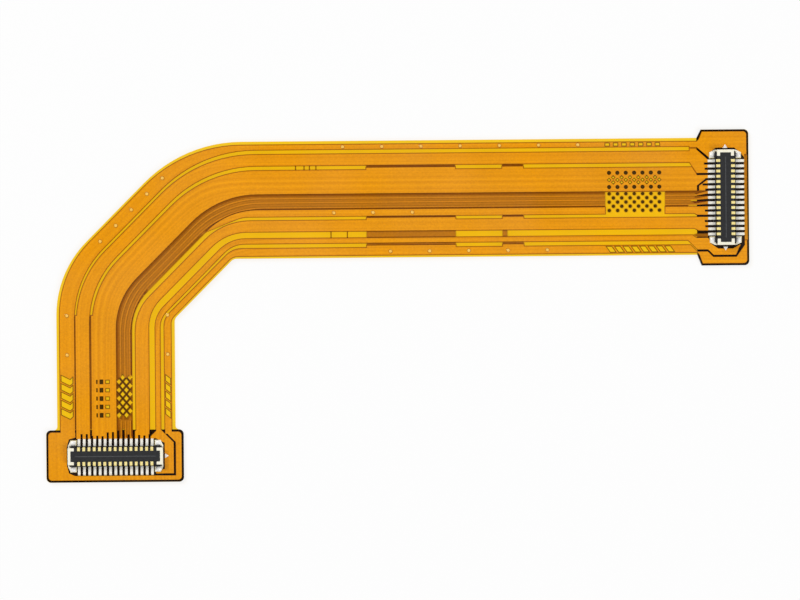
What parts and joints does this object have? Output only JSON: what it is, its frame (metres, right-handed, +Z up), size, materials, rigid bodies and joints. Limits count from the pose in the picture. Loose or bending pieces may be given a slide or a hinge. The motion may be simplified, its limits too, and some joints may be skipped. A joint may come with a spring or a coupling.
{
  "type": "flat flex cable",
  "caption": "Flat flexible printed cable cut to an L with a slanted bend, copper strips under amber film and a black two-row board connector on a stiffened paddle at each end.",
  "frame": {"origin": "centre of the bounding box at its bottom face, where the two stiffeners rest", "axes": "+X along the long arm from the bend to its connector, +Y away from the short arm's connector, +Z up out of the connectors' mating faces"},
  "size_m": [0.054, 0.0266, 0.001],
  "materials": {
    "amber_film": "glossy translucent amber film",
    "upper_copper": "copper seen through amber film",
    "lower_copper": "copper seen through two amber films",
    "black_stiffener": "black laminate, satin",
    "gold_plate": "gold plated, satin",
    "solder": "bright solder",
    "black_moulding": "moulded, fine grain",
    "plated_steel": "tin plated, satin",
    "white_ink": "printed"
  },
  "bodies": {
    "root": {"base_film": "amber_film", "top_coverlay": "amber_film", "bottom_coverlay": "amber_film", "left_stiffener": "black_stiffener", "right_stiffener": "black_stiffener", "ground_copper": "upper_copper", "power_outer": "upper_copper", "main_plane": "upper_copper", "power_inner": "upper_copper", "return_strip": "upper_copper", "centre_strip": "upper_copper", "signal_lines": "upper_copper", "bottom_plane": "lower_copper", "bottom_bridges": "lower_copper", "mesh_dots": "lower_copper", "guard_vias": "upper_copper", "left_lands": "gold_plate", "left_solder": "solder", "left_housing": "black_moulding", "left_contacts_inner": "gold_plate", "left_contacts_outer": "gold_plate", "left_hold_down_first": "plated_steel", "left_hold_down_last": "plated_steel", "left_orientation_mark": "white_ink", "right_lands": "gold_plate", "right_solder": "solder", "right_housing": "black_moulding", "right_contacts_inner": "gold_plate", "right_contacts_outer": "gold_plate", "right_hold_down_first": "plated_steel", "right_hold_down_last": "plated_steel", "right_orientation_mark": "white_ink"}
  },
  "joints": []
}
